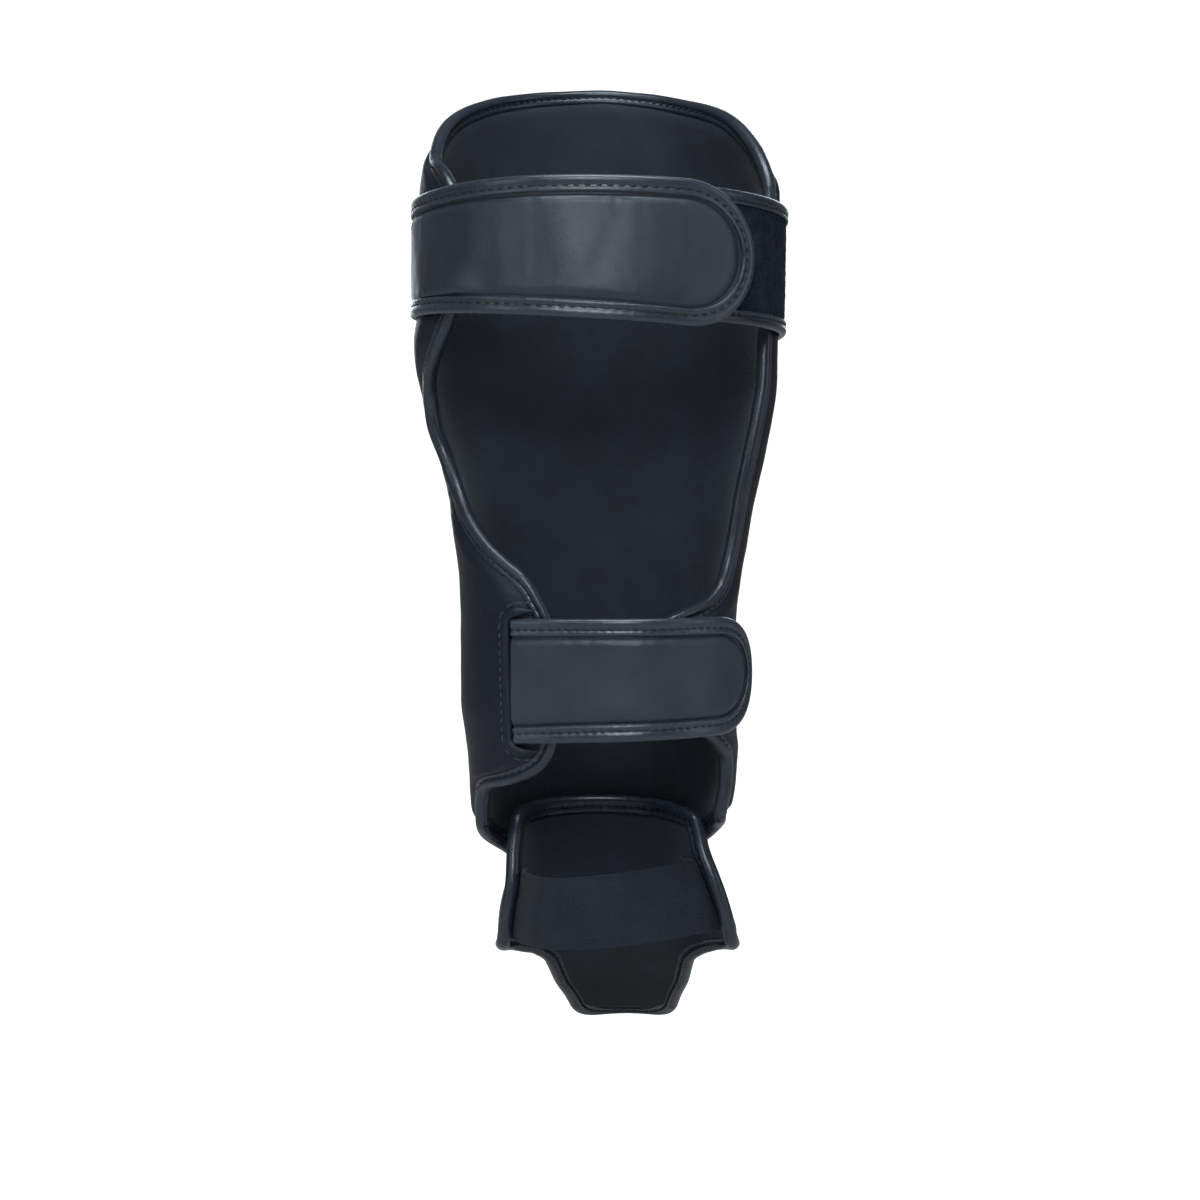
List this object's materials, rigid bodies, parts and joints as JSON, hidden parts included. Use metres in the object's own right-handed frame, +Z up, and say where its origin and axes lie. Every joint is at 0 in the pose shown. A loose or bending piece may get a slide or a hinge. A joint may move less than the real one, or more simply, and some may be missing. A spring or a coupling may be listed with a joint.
{
  "type": "shin guard",
  "caption": "Padded shin guard with an instep pad, hook and loop straps behind the calf and an elastic heel band, in the form it has on a leg.",
  "frame": {"origin": "middle of the leg inside the shell, 138 mm above the hem, where the guard is held on the shin", "axes": "+Z up along the leg, +Y out of the padded striking face, +X to the right seen from behind"},
  "size_m": [0.1891, 0.24, 0.5121],
  "materials": {
    "shell_leather": "satin",
    "binding_leather": "satin",
    "lining_cloth": "matte",
    "loop_pile": "matte",
    "hook_tape": "matte",
    "elastic_weave": "ribbed"
  },
  "bodies": {
    "root": {"shin_pad": "shell_leather", "shin_lining": "lining_cloth", "shin_binding": "binding_leather", "upper_strap": "shell_leather", "upper_strap_binding": "binding_leather", "upper_hook_patch": "hook_tape", "upper_loop_tab": "loop_pile", "upper_tab_binding_top": "binding_leather", "upper_tab_binding_bottom": "binding_leather", "lower_strap": "shell_leather", "lower_strap_binding": "binding_leather", "lower_hook_patch": "hook_tape", "lower_loop_patch": "loop_pile", "strap_welt": "binding_leather", "instep_pad": "shell_leather", "instep_lining": "lining_cloth", "instep_binding": "binding_leather", "heel_elastic": "elastic_weave"}
  },
  "joints": []
}
